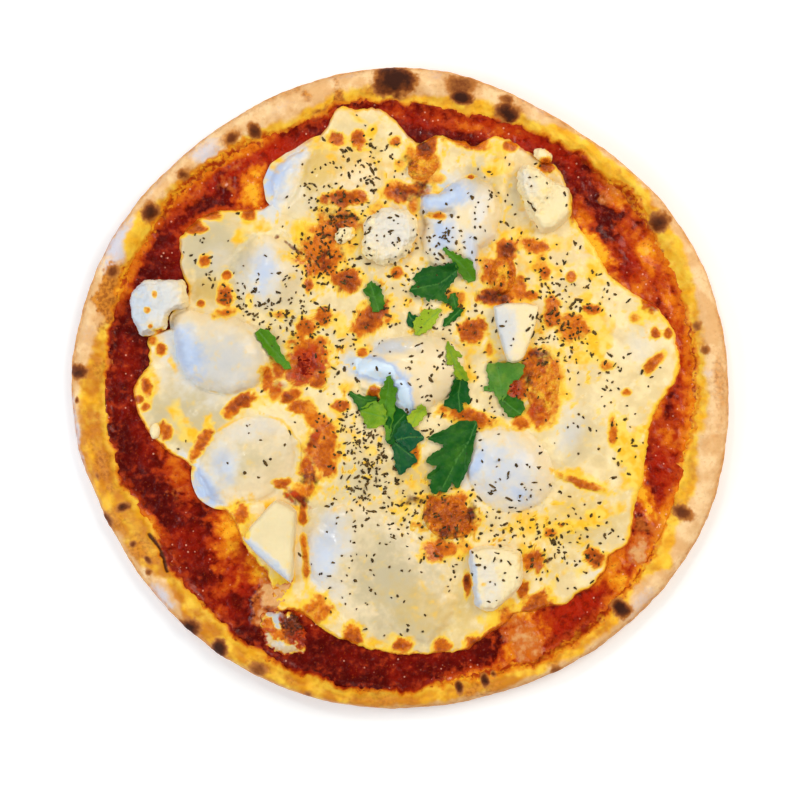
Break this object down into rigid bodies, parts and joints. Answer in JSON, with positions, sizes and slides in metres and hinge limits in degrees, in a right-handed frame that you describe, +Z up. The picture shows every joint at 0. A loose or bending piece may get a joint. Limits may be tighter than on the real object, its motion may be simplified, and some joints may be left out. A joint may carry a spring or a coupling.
{
  "type": "mascarpone pizza",
  "caption": "Round thin-crust baked pizza, uncut, with a raised browned rim, tomato sauce, melted cheese, mascarpone dollops, cheese pieces, dried herbs and parsley leaves.",
  "frame": {"origin": "middle of the flat underside of the crust", "axes": "+Z up out of the toppings; +Y towards the top of the pizza as it is seen from above, +X to its right"},
  "size_m": [0.3291, 0.3206, 0.0198],
  "materials": {
    "baked_dough": "dry floury baked dough, pale with yellow oiled inner slope and brown blisters",
    "tomato_sauce": "wet, pulpy, oily",
    "melted_mozzarella": "oily satin with browned spots",
    "mascarpone": "smooth and glossy",
    "cut_cheese": "crumbly satin",
    "browned_curd": "caramelised, oily",
    "parsley": "fresh leaf, satin"
  },
  "bodies": {
    "root": {"crust": "baked_dough", "tomato_sauce": "tomato_sauce", "mozzarella": "melted_mozzarella", "mascarpone_1": "mascarpone", "mascarpone_2": "mascarpone", "mascarpone_3": "mascarpone", "mascarpone_4": "mascarpone", "mascarpone_5": "mascarpone", "mascarpone_6": "mascarpone", "mascarpone_7": "mascarpone", "mascarpone_8": "mascarpone", "cheese_chunk_1": "cut_cheese", "cheese_chunk_2": "cut_cheese", "cheese_chunk_3": "cut_cheese", "cheese_chunk_4": "cut_cheese", "cheese_chunk_5": "cut_cheese", "cheese_chunk_6": "cut_cheese", "cheese_crumb_1": "cut_cheese", "cheese_crumb_2": "cut_cheese", "cheese_crumb_3": "cut_cheese", "browned_curd_1": "browned_curd", "browned_curd_2": "browned_curd", "browned_curd_3": "browned_curd", "browned_curd_4": "browned_curd", "outlying_mozzarella": "melted_mozzarella", "parsley_1": "parsley", "parsley_2": "parsley", "parsley_3": "parsley", "parsley_4": "parsley", "parsley_5": "parsley", "parsley_6": "parsley", "parsley_7": "parsley", "parsley_8": "parsley", "parsley_9": "parsley", "parsley_10": "parsley", "parsley_11": "parsley", "parsley_12": "parsley", "parsley_13": "parsley", "parsley_14": "parsley", "parsley_15": "parsley", "parsley_16": "parsley", "parsley_17": "parsley"}
  },
  "joints": []
}
